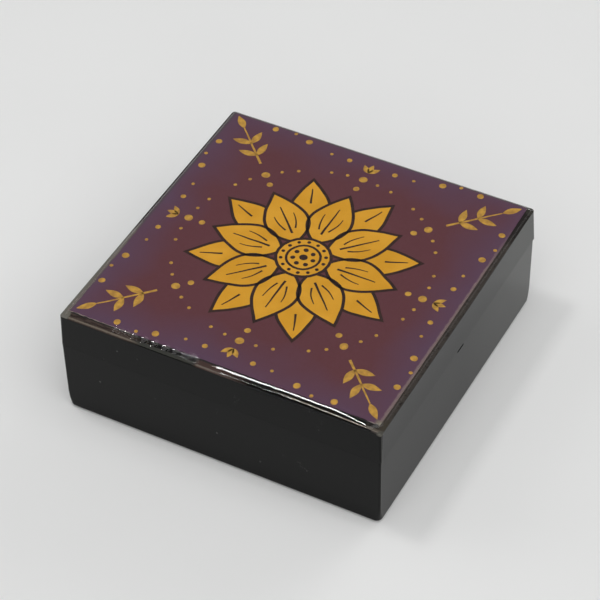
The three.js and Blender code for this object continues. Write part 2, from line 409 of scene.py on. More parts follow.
def black_gloss_lacquer():
    finish, add, mm = new_finish("black_gloss_lacquer")
    warp = add("TexNoise", {"Vector": mm, "Scale": 1 / NIB_WARP_MM, "Detail": 2}, "Color")
    ragged = add("VectorMath", {0: warp, 1: (RAGGED_MM,) * 3, 2: mm}, operation="MULTIPLY_ADD")
    speck = add("TexVoronoi", {"Vector": ragged, "Scale": 1 / NIB_CELL_MM}, "Distance")
    nib = add("MapRange", {"Value": speck, "From Min": NIB_RADIUS_MM / NIB_CELL_MM,
                           "From Max": NIB_RADIUS_MM / NIB_CELL_MM / 3})
    patch = add("TexNoise", {"Vector": mm, "Scale": 1 / NIB_PATCH_MM, "Detail": 1}, "Fac")
    strong = add("MapRange", {"Value": patch, "From Min": 0.42, "From Max": 0.6,
                              "To Min": 0.06, "To Max": 0.4})
    nib_shown = add("Math", {0: nib, 1: strong}, operation="MULTIPLY")

    marks = add("TexNoise", {"Vector": mm, "Scale": 1 / SCUFF_MM, "Detail": 2}, "Fac")
    mark = add("MapRange", {"Value": marks, "From Min": 0.6, "From Max": 0.72})
    wide = add("TexNoise", {"Vector": mm, "Scale": 0.1 / SCUFF_MM, "Detail": 1}, "Fac")
    in_patch = add("MapRange", {"Value": wide, "From Min": 0.66, "From Max": 0.74,
                                "To Max": 0.14})
    scuff = add("Math", {0: mark, 1: in_patch}, operation="MULTIPLY")

    haze = add("TexNoise", {"Vector": mm, "Scale": 1 / HAZE_MM, "Detail": 3}, "Fac")
    satin = add("MapRange", {"Value": haze, "From Min": 0.3, "From Max": 0.7,
                             "To Min": 0.07, "To Max": 0.12})
    dulled = add("Math", {0: nib_shown, 1: scuff}, operation="MAXIMUM")
    rough = add("Math", {0: dulled, 1: 0.5, 2: satin}, operation="MULTIPLY_ADD")

    x, y = (add("SeparateXYZ", {0: mm}, axis) for axis in range(2))
    shade = paint(add, "#040404", "#060706", (haze, 0, 1))
    shade = paint(add, shade, "#8a8c88", (dulled, 0, 1))
    # painted reflection: a lighter grey towards the far end of the right side, for the brighter
    # mirror there
    shade = paint(add, shade, "#3c3d3b", (x, *RIGHT_SIDE), (y, *PAINTED_REFLECTION_ALONG))
    shade = rim_wear_and_painted_light(add, mm, ragged, shade)

    peel = add("TexNoise", {"Vector": mm, "Scale": 1 / PEEL_MM, "Detail": 1}, "Fac")
    relief = add("Math", {0: nib_shown, 1: 3.0, 2: peel}, operation="MULTIPLY_ADD")
    bump = add("Bump", {"Height": relief, "Distance": PEEL_RISE_MM * MM, "Strength": 1.0},
               "Normal")
    surface = add("BsdfPrincipled", {"Base Color": shade, "Roughness": rough,
                                     "IOR": LACQUER_IOR, "Normal": bump})
    add("OutputMaterial", {"Surface": surface})
    return finish


lacquer = black_gloss_lacquer()

# %% [markdown]
# The case is made closed and sawn apart, so the lid and the base match on every side and only a
# hair of a seam is left. Near the foot the corners are worn rounder than higher up. Each half
# is one skin, because the lacquer film runs unbroken over the wall joints: the section of a
# wall, with its let-in for the board, is carried round the square. The nail nick at the right
# is scooped out of the base's top edge afterwards with a round cutter.

# %% The base's lacquered case
INNER_RADIUS = 0.3
BASE_CORNER, FOOT_CORNER, FOOT_EDGE = 0.5, 1.4, 0.5
FOOT_WEAR = 4.0  # the corners get rounder over this height
SEAM_EASE = 0.05
BASE_TAPER = 0.12
FOOT_STEPS = 8
SIDE_LEVELS = 14
RUN_STEPS = 40
WAVE_MM, WAVE_DEPTH_MM = 17, 0.03  # rubbed by hand, the faces are not quite flat

base_centre = ((base_low + base_high) / 2).xy
base_half = (base_high.x - base_low.x) / 2
foot_half = base_half - BASE_TAPER
cavity_half = (liner_high.x - liner_low.x) / 2
rebate_half = (floor_high.x - floor_low.x) / 2


def quarter(steps):
    """Cosine and sine of even steps through a right angle, both ends included."""
    return [(math.cos(step / steps * math.pi / 2), math.sin(step / steps * math.pi / 2))
            for step in range(steps + 1)]


def outer_ring(half, radius, z, centre):
    """A ring on the outside of the case, hollowed here and there by the rubbing down."""
    ring = []
    for point in square_ring(half, radius, z, centre, RUN_STEPS):
        dip = WAVE_DEPTH_MM * unevenness(point, WAVE_MM)
        from_centre = Vector((point.x - centre[0], point.y - centre[1], 0))
        ring.append(point - dip * from_centre / from_centre.length)
    return ring


def inner_ring(half, z, centre):
    return square_ring(half, INNER_RADIUS, z, centre, RUN_STEPS)


def base_rings():
    rings = [inner_ring(rebate_half, base_low.z, base_centre)]
    for across, up in reversed(quarter(FOOT_STEPS)):
        inset = FOOT_EDGE * (1 - across)
        rings.append(outer_ring(foot_half - inset, FOOT_CORNER - inset,
                                base_low.z + FOOT_EDGE * (1 - up), base_centre))
    low, high = base_low.z + FOOT_EDGE, base_high.z - SEAM_EASE
    for level_up in range(1, SIDE_LEVELS + 1):
        share = level_up / SIDE_LEVELS
        worn = max(0, 1 - share * (high - low) / FOOT_WEAR) ** 2
        rings.append(outer_ring(foot_half + BASE_TAPER * share,
                                BASE_CORNER + (FOOT_CORNER - BASE_CORNER) * worn,
                                low + (high - low) * share, base_centre))
    for across, up in quarter(EASE_STEPS)[1:]:
        rings.append(outer_ring(base_half - SEAM_EASE * (1 - across), BASE_CORNER,
                                high + SEAM_EASE * up, base_centre))
    rings.append(inner_ring(cavity_half, base_high.z, base_centre))
    rings.append(inner_ring(cavity_half, floor_high.z, base_centre))
    rings.append(inner_ring(rebate_half, floor_high.z, base_centre))
    return rings


base_case = make_piece("lacquered_base_case", *skin(base_rings(), closed=True), lacquer,
                       "base", "lacquer", named("base_wall"))

# %% The nail nick
NICK_LENGTH, NICK_DEPTH, NICK_HEIGHT = 3.0, 0.9, 0.9
CUTTER_SIDES = 96


def cut_away(piece, cutter):
    """Takes the cutter's shape out of a piece and throws the cutter away."""
    cut = piece.modifiers.new("cut", "BOOLEAN")
    cut.operation, cut.solver, cut.object = "DIFFERENCE", "EXACT", cutter
    bpy.context.view_layer.update()
    result = bpy.data.meshes.new_from_object(piece.evaluated_get(
        bpy.context.evaluated_depsgraph_get()))
    piece.modifiers.remove(cut)
    piece.data = result
    bpy.data.objects.remove(cutter)


nick_radius = (NICK_LENGTH ** 2 / 4 + NICK_DEPTH ** 2) / (2 * NICK_DEPTH)
nick_middle = Vector((base_high.x - NICK_DEPTH + nick_radius, base_centre.y, base_high.z))
scoop = bmesh.new()
bmesh.ops.create_cone(scoop, cap_ends=True, segments=CUTTER_SIDES, radius1=nick_radius * MM,
                      radius2=nick_radius * MM, depth=2 * NICK_HEIGHT * MM)
bmesh.ops.translate(scoop, vec=nick_middle * MM, verts=scoop.verts)
scoop_mesh = bpy.data.meshes.new("scoop")
scoop.to_mesh(scoop_mesh)
cut_away(base_case, add_object("scoop", scoop_mesh))
even_shading(base_case)
print("nick radius, mm:", round(nick_radius, 2))

# %% The lid's lacquered case
LID_CORNER, TOP_CORNER = 0.45, 0.8
LID_TAPER = 0.1
TOP_EASE = 0.15  # radius of the top edge
FAR_LEAN = 0.25  # the right wall was rubbed down this much more towards the far top corner,
LEAN_FROM_X, LEAN_FROM_Y, LEAN_OVER = 30, 5, 28  # from here on, over this length

lid_half = (lid_high.x - lid_low.x) / 2
lid_centre = ((lid_low + lid_high) / 2).xy


def lid_rings():
    rings = [inner_ring(cavity_half, lid_low.z, lid_centre)]
    for across, up in reversed(quarter(EASE_STEPS)):
        rings.append(outer_ring(lid_half - SEAM_EASE * (1 - across), LID_CORNER,
                                lid_low.z + SEAM_EASE * (1 - up), lid_centre))
    low, high = lid_low.z + SEAM_EASE, lid_high.z - TOP_EASE
    for level_up in range(1, SIDE_LEVELS + 1):
        share = level_up / SIDE_LEVELS
        rings.append(outer_ring(lid_half - LID_TAPER * share,
                                LID_CORNER + (TOP_CORNER - LID_CORNER) * share,
                                low + (high - low) * share, lid_centre))
    for across, up in quarter(EASE_STEPS)[1:]:
        rings.append(outer_ring(lid_half - LID_TAPER - TOP_EASE * (1 - across), TOP_CORNER,
                                high + TOP_EASE * up, lid_centre))
    for ring in rings:
        for point in ring:
            if point.x > LEAN_FROM_X:
                up_share = (point.z - lid_low.z) / (lid_high.z - lid_low.z)
                far_share = min(max((point.y - LEAN_FROM_Y) / LEAN_OVER, 0), 1)
                point.x -= FAR_LEAN * up_share * far_share
    rings.append(inner_ring(rebate_half, lid_high.z, lid_centre))
    rings.append(inner_ring(rebate_half, ceiling_low.z, lid_centre))
    rings.append(inner_ring(cavity_half, ceiling_low.z, lid_centre))
    return rings


lid_case = make_piece("lacquered_lid_case", *skin(lid_rings(), closed=True), lacquer,
                      "lid", "lacquer", named("lid_wall"))
even_shading(lid_case)

# %% [markdown]
# Wood that is stained or left bare. Its grain is drawn out along the board: noise is stretched
# about twentyfold along one axis, the early and late wood of each year give light and dark, and
# fine pores roughen it. The liner strips are stained black and show the grain only as sheen. The
# boards are a pale thin ply, bare inside the box, and the lid's board is black on top, where it
# was lacquered with the walls before the print went on.

# %% Wood finishes on the CAD's own strips and boards
YEAR_MM = 1.6  # width of a year of growth
PORE_MM, PORE_DEPTH_MM = 0.25, 0.02
DRAWN_OUT = 22  # how many times longer than wide the grain is
STAIN, BIRCH = ("#0e0c0c", "#1d1918"), ("#a37a4d", "#c9a476")  # late and early wood
TOP_FILM_MM = 0.05


def wood(name, shades, along, roughness, black_above=None):
    """Straight-grained wood whose grain runs along axis 0 (X) or 1 (Y)."""
    finish, add, mm = new_finish(name)
    stretch = [1 / YEAR_MM] * 3
    stretch[along] /= DRAWN_OUT
    grain = add("Mapping", {"Vector": mm, "Scale": stretch})
    years = add("TexNoise", {"Vector": grain, "Scale": 1.0, "Detail": 4, "Roughness": 0.6}, "Fac")
    pores = add("TexNoise", {"Vector": grain, "Scale": YEAR_MM / PORE_MM, "Detail": 2}, "Fac")
    shade = paint(add, *shades, (years, 0.35, 0.65))
    if black_above is not None:
        z = add("SeparateXYZ", {0: mm}, 2)
        shade = paint(add, shade, "#050505", (z, black_above, black_above + 0.001))
    rough = add("MapRange", {"Value": pores, "To Min": roughness - 0.08,
                             "To Max": roughness + 0.12})
    bump = add("Bump", {"Height": pores, "Distance": PORE_DEPTH_MM * MM, "Strength": 0.6},
               "Normal")
    surface = add("BsdfPrincipled", {"Base Color": shade, "Roughness": rough, "Normal": bump})
    add("OutputMaterial", {"Surface": surface})
    return finish


def refinish(node, finish):
    """Gives a CAD node that stays as it is a better material."""
    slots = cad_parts[node].data.materials
    slots.clear()
    slots.append(finish)
    print("refinished", node)


strip_finishes = [wood(f"black_stained_strip_{axis}", STAIN, along, 0.42)
                  for along, axis in enumerate("xy")]
for wall in WALLS:
    refinish(f"liner_{wall}", strip_finishes[0 if wall in ("front", "back") else 1])
refinish("floor_board", wood("bare_birch_board", BIRCH, 0, 0.7))
refinish("lid_board", wood("birch_board_black_on_top", BIRCH, 0, 0.7,
                           black_above=ceiling_high.z - TOP_FILM_MM))

# %% [markdown]
# The lining is card with a short flocked pile: fibres half a millimetre long, shot upright into
# glue. From the side it glows, which is sheen, and where a finger has pressed it the pile lies
# over and looks darker or lighter. The felt under the foot is matted wool, so its fibres lie
# flat and cross one another. Both cards have soft rounded edges, and the felt is plain cut.

# %% Flock and felt
FLOCK_FIBRE_MM = 0.35  # real fibres are 0.02 mm thick; clumps of them show at this size
FELT_FIBRE_MM = 0.3
NAP_MM, FELT_NAP_MM = 9, 5  # the pile lies this way and that in patches this wide
PILE_RISE_MM = 0.15


def fibre_pile(name, dark, light, fibre_mm, pressed_mm, sheen):
    finish, add, mm = new_finish(name)
    nap = add("TexNoise", {"Vector": mm, "Scale": 1 / pressed_mm, "Detail": 3}, "Fac")
    clumps = add("TexNoise", {"Vector": mm, "Scale": 1 / fibre_mm, "Detail": 4}, "Fac")
    mixed = add("Math", {0: nap, 1: clumps}, operation="ADD")
    shade = paint(add, dark, light, (mixed, 0.75, 1.25))
    rough = add("MapRange", {"Value": nap, "To Min": 0.85, "To Max": 1.0})
    bump = add("Bump", {"Height": clumps, "Distance": PILE_RISE_MM * MM, "Strength": 0.7},
               "Normal")
    surface = add("BsdfPrincipled",
                  {"Base Color": shade, "Roughness": rough, "Specular IOR Level": 0.1,
                   "Sheen Weight": sheen, "Sheen Roughness": 0.45, "Normal": bump})
    add("OutputMaterial", {"Surface": surface})
    return finish


wine_flock = fibre_pile("wine_flocked_card", "#43101d", "#6a1a2d", FLOCK_FIBRE_MM, NAP_MM, 0.7)
black_felt = fibre_pile("black_wool_felt", "#151516", "#262628", FELT_FIBRE_MM,
                        FELT_NAP_MM, 0.3)

# %% Lining cards and the felt foot
CARD_CORNER, CARD_EDGE = 1.0, 0.6
CARD_SWELL, SWELL_MM = 0.06, 3.0  # the pile stands this much lower in places this wide
FACE_RINGS = 24
FELT_CORNER = 3.0


def pile_slab(low, high, face_up):
    """A slab with one rounded, slightly uneven face and one flat back."""
    centre, half = (low.xy + high.xy) / 2, (high.x - low.x) / 2
    back_z, face_z = (low.z, high.z) if face_up else (high.z, low.z)
    up = 1 if face_up else -1
    rings = [square_ring(half, CARD_CORNER, back_z, centre, RUN_STEPS)]
    for across, rise in quarter(EASE_STEPS * 2):
        inset = CARD_EDGE * (1 - across)
        rings.append(square_ring(half - inset, max(CARD_CORNER - inset, INNER_RADIUS),
                                 face_z - up * CARD_EDGE * (1 - rise), centre, RUN_STEPS))
    for step in range(1, FACE_RINGS):
        inner = (half - CARD_EDGE) * (1 - step / FACE_RINGS)
        rings.append(square_ring(inner, min(INNER_RADIUS, inner / 2), face_z, centre, RUN_STEPS))
    for ring in rings[EASE_STEPS:]:
        for point in ring:
            point.z -= up * CARD_SWELL * unevenness(point, SWELL_MM)
    return skin(rings if face_up else rings[::-1])


for body in ("base", "lid"):
    card = f"{body}_lining_card"
    make_piece(f"{body}_flocked_card", *pile_slab(*span(card), face_up=body == "base"),
               wine_flock, body, "flocked_lining", [card])

felt_low, felt_high = span("foot_felt")
felt_width = felt_high.x - felt_low.x
felt_rings = [square_ring(felt_width / 2, FELT_CORNER, z, (felt_low + felt_high).xy / 2, RUN_STEPS)
              for z in (felt_low.z, felt_high.z)]
foot_felt = make_piece("wool_felt_foot", *skin(felt_rings), black_felt, "base", "felt",
                       ["foot_felt"])

# %% [markdown]
# The picture on the lid is a colour print on paper: a plum ground that turns violet towards the
# edges, ochre shapes with a dark drawn outline, and small dull-gold ornaments. The paper was
# cut by hand, so its cut faces are unprinted and the ink has flaked back from the edge here and
# there: that is the thin pale line that shows where the edge faces you. Elsewhere the edge took
# up dirt, and the ink beside it is rubbed pale in places. Along the back and the left the print
# is darkened with painted shade, for the dark far edge of the resin. The sheet is a real thin
# slab, and every ink lies on it as its own thin film, one above another as in screen printing.

# %% The printed sheet
PRINT_CORNER = 0.25
CUT_WANDER_MM, CUT_WAVE_MM = 0.10, 5
TORN_MM, TEARS_PER_MM = 0.22, 0.9  # the front edge is ragged besides
RIGHT_CUT_MM = 0.4  # and the right edge was cut a little short,
MORE_FROM_Y, TWICE_AFTER = 22, 20  # more so from here on, by as much again after this length
EDGE_BAND = 0.5  # points this near to an edge lie on it
CLOUD_MM = 14
GRAIN_MM, FLAKE_MM = 1 / 1.4, 1 / 0.9
print_low, print_high = span("picture_print")
print_centre = ((print_low + print_high) / 2).xy
print_half = ((print_high - print_low) / 2).xy


def printed_paper():
    finish, add, mm = new_finish("plum_printed_paper")
    x, y, z = (add("SeparateXYZ", {0: mm}, axis) for axis in range(3))
    from_middle = add("VectorMath", {0: mm, 1: (*print_centre, 0)}, operation="SUBTRACT")
    away = add("VectorMath", {0: from_middle}, operation="ABSOLUTE")
    inside = add("VectorMath", {0: (*print_half, 0), 1: away}, operation="SUBTRACT")
    inside_x, inside_y = (add("SeparateXYZ", {0: inside}, axis) for axis in range(2))
    to_edge = add("Math", {0: inside_x, 1: inside_y}, operation="MINIMUM")
    to_rim = add("Math", {0: inside_x, 1: inside_y, 2: 6.0}, operation="SMOOTH_MIN")
    cloud = add("TexNoise", {"Vector": mm, "Scale": 1 / CLOUD_MM, "Detail": 2}, "Fac")
    cloudy_rim = add("Math", {0: cloud, 1: 12.0, 2: to_rim}, operation="MULTIPLY_ADD")
    grain = add("TexNoise", {"Vector": mm, "Scale": 1 / GRAIN_MM, "Detail": 3}, "Fac")

    flakes = add("TexNoise", {"Vector": mm, "Scale": 1 / FLAKE_MM, "Detail": 3}, "Fac")
    flaky_edge, flaky_left, flaky_right = (
        add("Math", {0: flakes, 1: -depth, 2: inset}, operation="MULTIPLY_ADD")
        for depth, inset in ((0.5, to_edge), (0.8, inside_x), (0.6, inside_x)))
    flaked = add("MapRange", {"Value": flaky_edge, "From Min": -0.14, "From Max": -0.22})
    cut_face = add("Math", {0: z, 1: print_high.z - 0.01}, operation="LESS_THAN")
    unprinted = (add("Math", {0: flaked, 1: cut_face}, operation="MAXIMUM"), 0, 1)
    at_left = (x, -20.0, -21.0)
    shade = paint(add, "#5b3238", "#633a44", (grain, 0, 1))
    patches = (
        ("#5a4159", (cloudy_rim, 17.0, 5.0)),  # the plum turns violet towards the rim
        ("#4f494b", (y, 20.0, 21.0), (inside_y, 0.9, 0.2)),  # painted shade: darker along the back, for the dark far edge of the resin
        ("#494247", at_left, (inside_x, 1.0, 0.3)),  # and painted shade along the left
        ("#68615c", at_left, (flaky_left, 0.35, 0.1), (y, -4.0, -9.0)),  # worn on its near half
        ("#7a696c", (x, 30.0, 31.0), (y, 30.0, 15.0), (flaky_right, 0.75, 0.45)),  # rubbed pale
        ("#2a2022", unprinted),  # bare paper is dirty
        ("#a99997", unprinted, (x, 33.5, 34.5), (y, 30.0, 0.0)),  # but pale at the right
        ("#a99997", unprinted, (y, -20.0, -34.0), (x, -20.0, -23.0)),  # and at the near left
        ("#7b7468", (x, 35.0, 35.8), (y, -34.4, -35.0)),  # soiled at the near corner
    )
    for stain, *limits in patches:
        shade = paint(add, shade, stain, *limits)
    rough = add("MapRange", {"Value": grain, "To Min": 0.6, "To Max": 0.75})
    surface = add("BsdfPrincipled", {"Base Color": shade, "Roughness": rough,
                                     "Specular IOR Level": 0.15})
    add("OutputMaterial", {"Surface": surface})
    return finish


def hand_cut_ring(z):
    """The sheet's edge at one height, as it was cut by hand."""
    middle = Vector((*print_centre, z))
    ring = []
    for point in square_ring(tuple(print_half), PRINT_CORNER, z, print_centre, 4 * RUN_STEPS):
        wander = CUT_WANDER_MM / print_half.x * unevenness(point, CUT_WAVE_MM)
        point = point.lerp(middle, wander)
        if point.x > middle.x + print_half.x - EDGE_BAND:
            point.x -= RIGHT_CUT_MM * (1 + max(0, point.y - MORE_FROM_Y) / TWICE_AFTER)
        if point.y < middle.y - print_half.y + EDGE_BAND:
            point.y += TORN_MM * max(0, noise.fractal(point * TEARS_PER_MM, 0.6, 2.0, 3))
        ring.append(point)
    return ring


make_piece("printed_sheet", *skin([hand_cut_ring(z) for z in (print_low.z, print_high.z)]),
           printed_paper(), "lid", "printed_paper", ["picture_print"])

# %% [markdown]
# The drawing is built from outlines worked out by formula: a leaf is a bulging curve on both
# sides of its midrib, a dot is a slightly wobbly circle, and a drawn line is the strip between
# two offsets of its path. A little noise moves each point, as an unsteady hand would. Filled
# shapes become thin prisms.

# %% Helpers for the drawing
LEAF_STEPS = 28
DOT_STEPS = 22
WOBBLE_MM = 0.12
WOBBLES_PER_MM = 0.35
WOBBLE_DEPTHS = (3.1, 8.3)  # where in the noise the two sides of the wobble are read
LINE_END = 0.5  # a line thins to this share of its width
LEAST_TURN = 0.45  # keeps a line from getting too wide where it turns sharply
FILM = 0.016  # thickness of one ink; real films are 0.01 to 0.03 mm
INK_STEP = 0.012
WELD_MM = 1e-4


def wobbled(point):
    """A drawn point as an unsteady hand puts it."""
    place = point.to_3d() * WOBBLES_PER_MM
    shift = Vector([noise.noise(place + Vector((0, 0, depth))) for depth in WOBBLE_DEPTHS])
    return point + WOBBLE_MM * shift


def polar(radius, angle):
    return Vector((radius * math.cos(angle), radius * math.sin(angle)))


def leaf(base, angle, length, width, fullness=0.8):
    """A pointed leaf from its base point outwards; fullness under 1 swells it near the base."""
    along, across = polar(1, angle), polar(1, angle + math.pi / 2)
    shares = [step / LEAF_STEPS for step in range(LEAF_STEPS + 1)]
    right, left = ([base + along * length * s
                    + side * across * width / 2 * math.sin(math.pi * s ** fullness)
                    for s in shares] for side in (-1, 1))
    return [wobbled(point) for point in right + left[-2:0:-1]]


def dot(radius, reach=0, angle=0):
    """A circle drawn by hand, its middle this far out in this direction."""
    middle = polar(reach, angle)
    return [wobbled(middle + polar(radius, 2 * math.pi * step / DOT_STEPS))
            for step in range(DOT_STEPS)]


def offsets(path, closed):
    """A unit vector square to the path at each of its points, longer where it turns sharply."""
    last = len(path) - 1
    sides = []
    for i, point in enumerate(path):
        into = (point - path[i - 1]).normalized()
        out = (path[0 if i == last else i + 1] - point).normalized()
        if not closed:
            into = out if i == 0 else into
            out = into if i == last else out
        bisector = (into + out).normalized()
        side = Vector((-bisector.y, bisector.x))
        turn = abs(side.dot(Vector((-out.y, out.x))))
        sides.append(side / max(turn, LEAST_TURN))
    return sides


def outline(path, width):
    """The strip along a closed path as four-sided cells."""
    sides = offsets(path, True)
    inner = [p - n * width / 2 for p, n in zip(path, sides)]
    outer = [p + n * width / 2 for p, n in zip(path, sides)]
    count = len(path)
    return [[inner[i], outer[i], outer[(i + 1) % count], inner[(i + 1) % count]]
            for i in range(count)]


def stroke(start, end, width, bend=0.0):
    """A drawn line that bends to one side and thins towards its end."""
    across = Vector((start.y - end.y, end.x - start.x))
    steps = LEAF_STEPS // 2
    path = [start.lerp(end, s / steps) + across * bend * math.sin(math.pi * s / steps)
            for s in range(steps + 1)]
    path = [wobbled(point) for point in path]
    sides = offsets(path, False)
    widths = [width / 2 * (1 - (1 - LINE_END) * i / steps) for i in range(steps + 1)]
    left = [p + n * w for p, n, w in zip(path, sides, widths)]
    right = [p - n * w for p, n, w in zip(path, sides, widths)]
    return left + right[::-1]


def lay_ink(name, layers, finish):
    """Prints lists of shapes as thin prisms, each list a little above the one before."""
    mesh = bmesh.new()
    for order, shapes in layers:
        z = print_high.z + order * INK_STEP
        for shape in shapes:
            corners = [mesh.verts.new(Vector((*(print_centre + p), z)) * MM) for p in shape]
            mesh.faces.new(corners)
    bmesh.ops.remove_doubles(mesh, verts=mesh.verts, dist=WELD_MM * MM)
    bmesh.ops.triangulate(mesh, faces=mesh.faces, ngon_method="EAR_CLIP")
    bmesh.ops.recalc_face_normals(mesh, faces=mesh.faces)
    for face in mesh.faces:
        if face.normal.z < 0:
            face.normal_flip()
    top_faces = bmesh.ops.extrude_face_region(mesh, geom=mesh.faces[:])["geom"]
    raised = [item for item in top_faces if isinstance(item, bmesh.types.BMVert)]
    bmesh.ops.translate(mesh, vec=(0, 0, FILM * MM), verts=raised)
    bmesh.ops.recalc_face_normals(mesh, faces=mesh.faces)
    data = bpy.data.meshes.new(name)
    mesh.to_mesh(data)
    mesh.free()
    add_piece(name, data, finish, "lid")


# %% [markdown]
# The design is a flower seen from above, with eight petals in front of eight more, a beaded
# ring round it and a leafy sprig in each corner. Its ochre covers about a quarter of the sheet.

# %% The flower
PETALS = 8
PETAL_TURN = 2 * math.pi / PETALS
LINE = 0.7
FRONT_PETAL = (5.2, 16.8, 9.6)  # from this radius, this long, this wide
BACK_PETAL = (8.5, 17.0, 8.8)
MIDRIB, SIDE_VEIN, BACK_VEIN = (8.2, 17.2), (9.6, 14.6), (17.5, 22.4)  # from radius to radius
SIDE_TURNS, SIDE_BEND = (0.12, 0.15), 0.06  # how far a side vein leans at its ends, radians
HEART_RADIUS, HEART_RING = 6.0, 0.62
SEED_RINGS = ((1, 0, 0.9), (7, 2.3, 0.55), (14, 4.85, 0.42))  # how many, how far out, radius
BEADS, BEAD_RING = 48, 28.4
BEAD_RADII = (0.95, 0.4, 0.4, 0, 0.4, 0.4)  # in turn; a bead of no size is left out
GAP_DOTS = (PETALS, 25.0, 0.7)


def petals(start, length, width, turned):
    return [leaf(polar(start, angle), angle, length, width)
            for angle in ((i + turned) * PETAL_TURN for i in range(PETALS))]


def ray(reach, angles, width, bend=0.0):
    """A line that runs outwards, from one radius and angle to the next."""
    return stroke(*(polar(*end) for end in zip(reach, angles)), width, bend)


def ring_of_dots(count, reach, radius):
    return [dot(radius, reach, i * 2 * math.pi / count) for i in range(count)]


back_petals = petals(*BACK_PETAL, 0.5)
front_petals = petals(*FRONT_PETAL, 0.0)
heart, heart_ring = dot(HEART_RADIUS), dot(HEART_RADIUS * HEART_RING)
seeds = [seed for plan in SEED_RINGS for seed in ring_of_dots(*plan)]

veins = []
for i in range(PETALS):
    angle = i * PETAL_TURN
    halfway = angle + PETAL_TURN / 2
    veins.append(ray(MIDRIB, (angle, angle), LINE * 0.8))
    for lean in (-1, 1):
        angles = [angle + lean * turn for turn in SIDE_TURNS]
        veins.append(ray(SIDE_VEIN, angles, LINE * 0.6, bend=lean * SIDE_BEND))
    veins.append(ray(BACK_VEIN, (halfway, halfway), LINE * 0.7))

beads = [dot(radius, BEAD_RING, i * 2 * math.pi / BEADS)
         for i, radius in enumerate(BEAD_RADII * (BEADS // len(BEAD_RADII))) if radius]
print("petals:", len(back_petals + front_petals), "veins:", len(veins), "beads:", len(beads))

# %% The corner sprigs and the small fillers
SPRIG_START, SPRIG_END, STEM = 32.5, 45.5, 0.6
SPRIG_LEAF, LEAF_FULLNESS = (4.6, 1.7), 0.9
LEAF_PAIRS, LEAF_LEAN = (35.5, 39.8), 0.85
TREFOIL_AT, TREFOIL_LEAF, TREFOIL_LEAN = 30.9, (2.9, 1.25), 0.75
# how far out, how far to each side in radians, radius
SIDE_DOTS = ((33.4, 0.17, 0.62), (34.6, 0.30, 0.38), (38.3, 0.45, 0.8))
CORNER_DOTS = ((41.2, 0.26, 0.42), (43.4, 0.155, 0.75))


def sprig(angle):
    """A stem along the diagonal with a leaf at its tip and two pairs of leaves."""
    tip = polar(SPRIG_END, angle)
    turns = [(tip, 0)] + [(polar(reach, angle), lean * LEAF_LEAN)
                          for reach in LEAF_PAIRS for lean in (-1, 1)]
    return [stroke(polar(SPRIG_START, angle), tip, STEM)] + [
        leaf(base, angle + turn, *SPRIG_LEAF, LEAF_FULLNESS) for base, turn in turns]


def trefoil(angle):
    """Three little leaves on one point."""
    return [leaf(polar(TREFOIL_AT, angle), angle + lean * TREFOIL_LEAN, *TREFOIL_LEAF,
                 LEAF_FULLNESS) for lean in (-1, 0, 1)]


ornaments = []
for corner in range(4):
    diagonal, straight = (corner + 0.5) * math.pi / 2, corner * math.pi / 2
    ornaments += sprig(diagonal) + trefoil(straight)
    for lean in (-1, 1):
        for middle, plans in ((straight, SIDE_DOTS), (diagonal, CORNER_DOTS)):
            ornaments += [dot(radius, reach, middle + lean * turn)
                          for reach, turn, radius in plans]
print("ornaments:", len(ornaments))

# %% [markdown]
# Screen ink is pigment in a binder, rolled through a mesh: flat, faintly mottled where the film
# is thin, and dull under the resin. The ochre is one warm opaque colour, the line ink is a brown
# that is nearly black, and the small ornaments are a paler gold that lets the plum through a bit.

# %% Inks
OCHRE_MOTTLE_MM, LINE_MOTTLE_MM, GOLD_MOTTLE_MM = 6.0, 2.2, 1.2


def screen_ink(name, thin, thick, mottle_mm):
    finish, add, mm = new_finish(name)
    mottle = add("TexNoise", {"Vector": mm, "Scale": 1 / mottle_mm, "Detail": 4}, "Fac")
    shade = paint(add, thin, thick, (mottle, 0.35, 0.65))
    rough = add("MapRange", {"Value": mottle, "To Min": 0.5, "To Max": 0.65})
    surface = add("BsdfPrincipled", {"Base Color": shade, "Roughness": rough,
                                     "Specular IOR Level": 0.15})
    add("OutputMaterial", {"Surface": surface})
    return finish


lay_ink("ochre_ink", [(0, back_petals), (2, front_petals), (4, [heart])],
        screen_ink("ochre_screen_ink", "#d89d23", "#e2a730", OCHRE_MOTTLE_MM))
lay_ink("drawn_line_ink",
        [(1, [cell for petal in back_petals for cell in outline(petal, LINE)]),
         (3, [cell for petal in front_petals for cell in outline(petal, LINE)] + veins),
         (5, outline(heart, LINE) + outline(heart_ring, LINE * 0.8) + seeds)],
        screen_ink("brown_black_line_ink", "#2b1a1a", "#38241f", LINE_MOTTLE_MM))
lay_ink("gold_ornament_ink", [(0, beads + ring_of_dots(*GAP_DOTS) + ornaments)],
        screen_ink("pale_gold_ink", "#a9803c", "#cfa245", GOLD_MOTTLE_MM))
